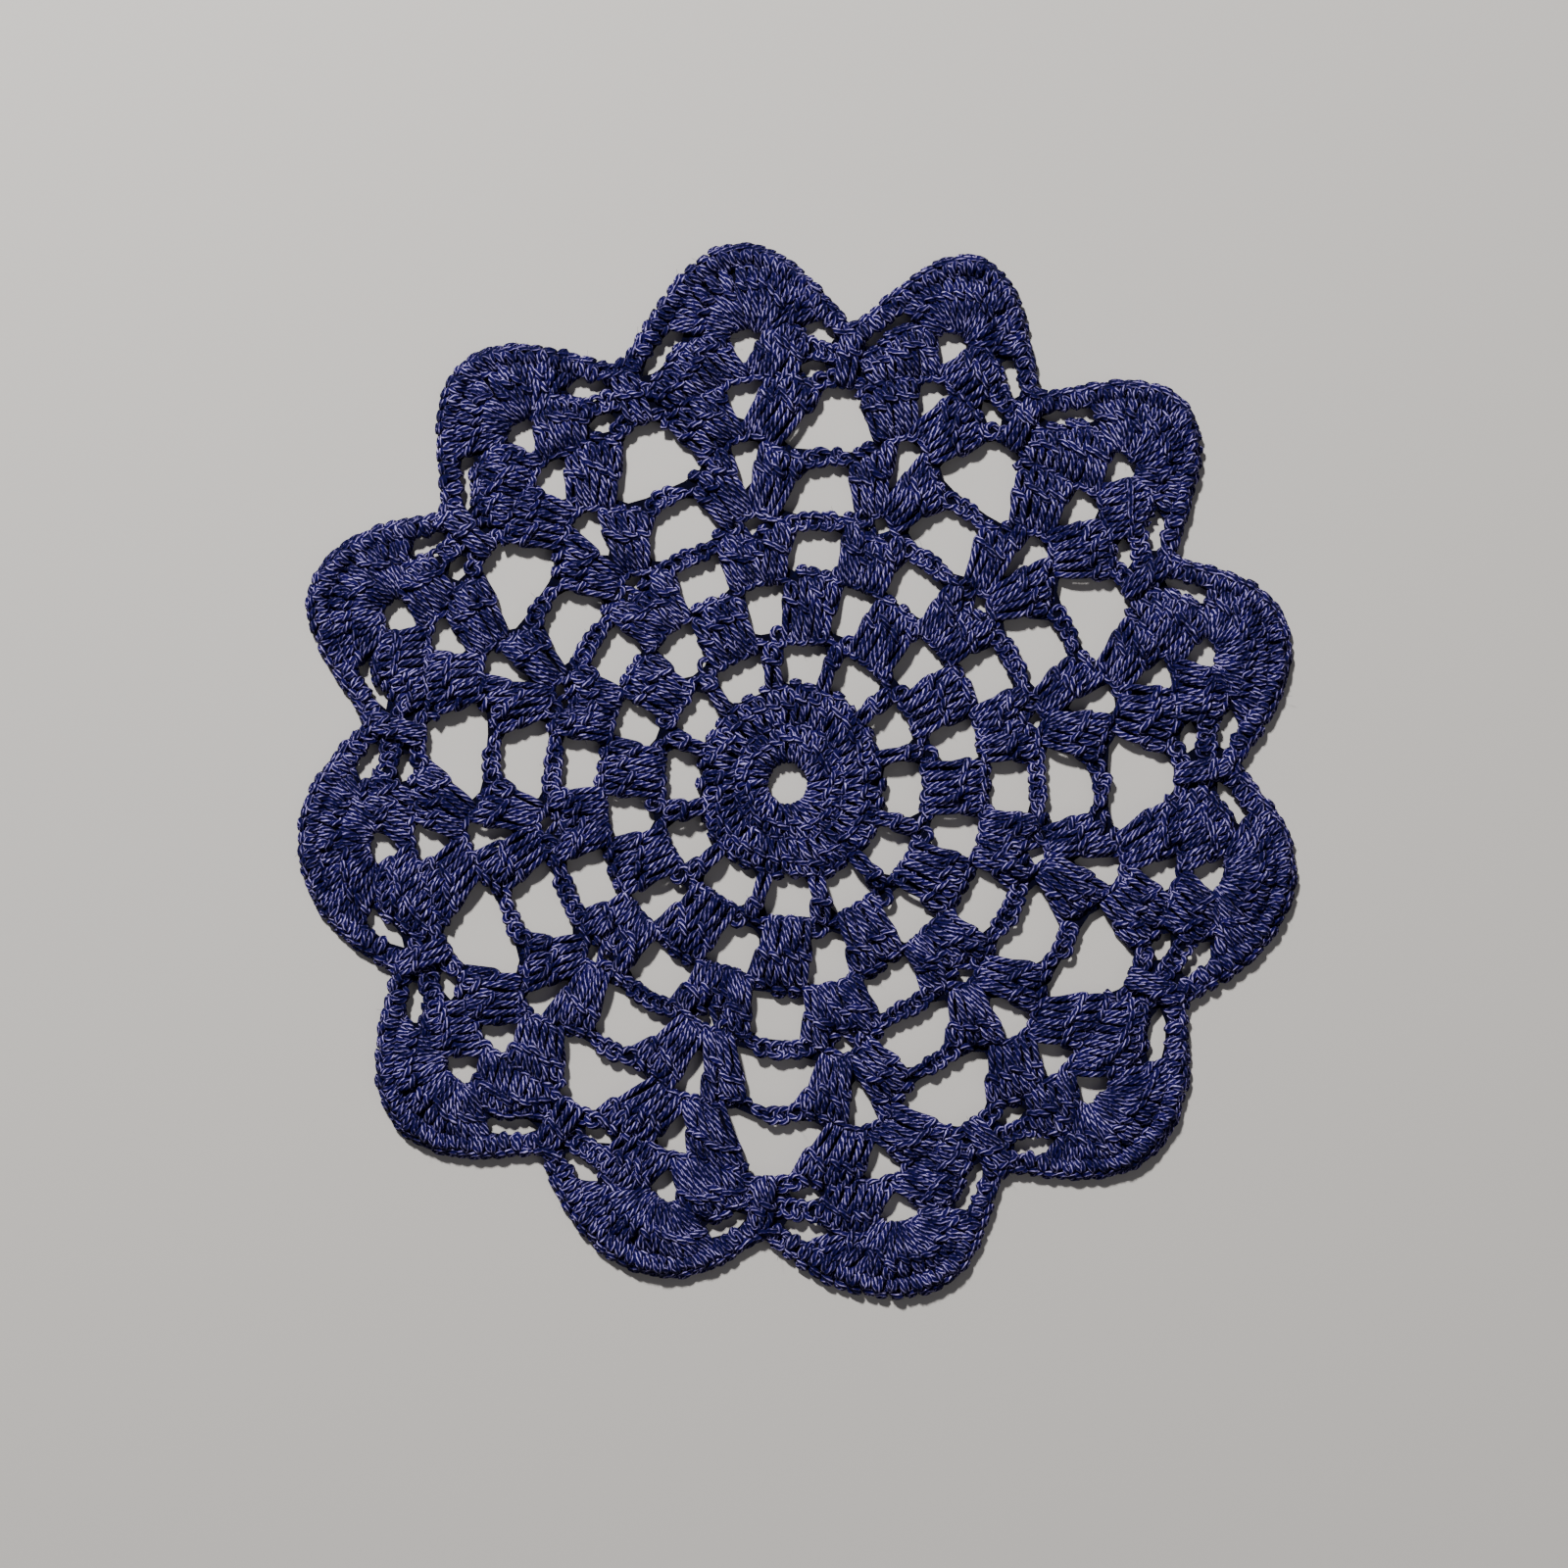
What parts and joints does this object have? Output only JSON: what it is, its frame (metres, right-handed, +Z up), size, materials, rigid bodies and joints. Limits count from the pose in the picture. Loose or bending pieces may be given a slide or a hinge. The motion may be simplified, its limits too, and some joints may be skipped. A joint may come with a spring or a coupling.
{
  "type": "lace doily",
  "caption": "Flat round crocheted lace doily with a solid middle disc, rings of openwork gaps and a scalloped edge of fan-shaped petals drawn in by small knots.",
  "frame": {"origin": "middle of the doily's box, on the surface it lies on", "axes": "+Z up through the cloth's thickness; +X to the right and +Y to the top of the doily as it is seen from above"},
  "size_m": [0.2036, 0.2156, 0.0037],
  "materials": {
    "navy_yarn": "matt cotton yarn with a slight fuzz"
  },
  "bodies": {
    "root": {"doily": "navy_yarn"}
  },
  "joints": []
}
